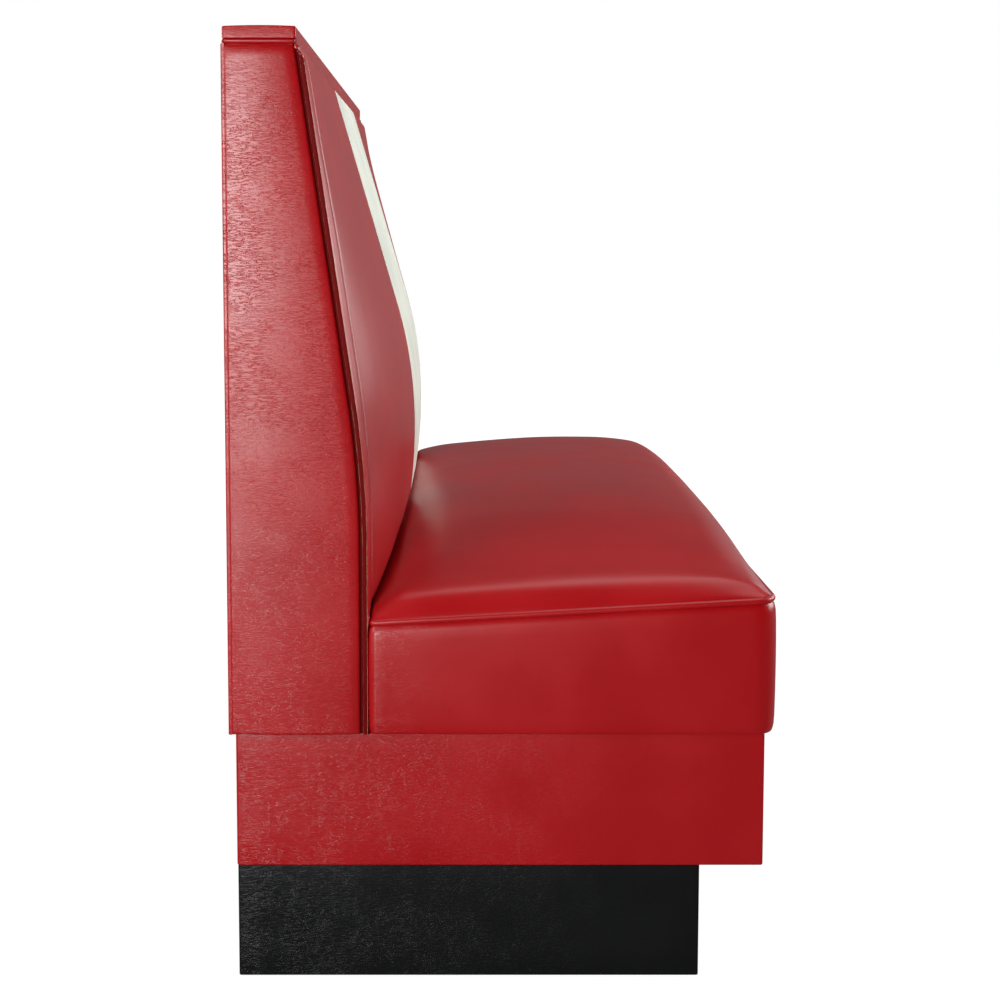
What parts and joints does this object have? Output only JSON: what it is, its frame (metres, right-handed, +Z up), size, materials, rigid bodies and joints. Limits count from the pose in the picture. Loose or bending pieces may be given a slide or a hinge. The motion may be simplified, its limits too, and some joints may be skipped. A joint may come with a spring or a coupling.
{
  "type": "restaurant booth seat",
  "caption": "Upholstered restaurant booth bench with a crowned seat cushion, a raked back with a contrasting centre panel, padded ends, a capped top and a recessed kick base.",
  "frame": {"origin": "on the floor, under the middle of the booth's length and depth", "axes": "+X along the bench's length, +Y from the seat's front towards the back's rear face, +Z up"},
  "size_m": [1.168, 0.617, 1.073],
  "materials": {
    "red_vinyl": "satin",
    "white_vinyl": "satin",
    "black_vinyl": "satin",
    "foam": "matte",
    "plywood": "matte",
    "hardwood": "matte",
    "hardboard": "matte",
    "fixing_steel": "satin",
    "glide_steel": "gloss",
    "dust_cloth": "matte"
  },
  "bodies": {
    "root": {"kick_front_board": "plywood", "kick_rear_board": "plywood", "kick_left_end_board": "plywood", "kick_right_end_board": "plywood", "kick_cross_braces": "plywood", "kick_corner_blocks": "hardwood", "kick_vinyl_wrap": "black_vinyl", "floor_glides": "glide_steel", "apron_front_rail": "hardwood", "apron_rear_rail": "hardwood", "apron_left_rail": "hardwood", "apron_right_rail": "hardwood", "box_cross_rails": "hardwood", "box_corner_blocks": "hardwood", "box_bottom_board": "plywood", "apron_vinyl_wrap": "red_vinyl", "base_screws": "fixing_steel", "seat_brackets": "fixing_steel", "seat_deck": "plywood", "seat_dust_cover": "dust_cloth", "seat_foam": "foam", "seat_boxing": "red_vinyl", "seat_top_cover": "red_vinyl", "seat_welt": "red_vinyl", "back_left_end_frame": "plywood", "back_right_end_frame": "plywood", "back_ribs": "plywood", "back_top_rail": "hardwood", "back_middle_rail": "hardwood", "back_bottom_rail": "hardwood", "back_bolts": "fixing_steel", "inner_back_board": "plywood", "back_foam": "foam", "back_cover_left": "red_vinyl", "back_cover_centre": "white_vinyl", "back_cover_right": "red_vinyl", "side_padding_left": "foam", "side_padding_right": "foam", "side_cover_left": "red_vinyl", "side_cover_right": "red_vinyl", "outside_back_board": "hardboard", "outside_back_vinyl": "red_vinyl", "cap_board": "plywood", "cap_vinyl": "red_vinyl", "cap_welt": "red_vinyl"}
  },
  "joints": []
}
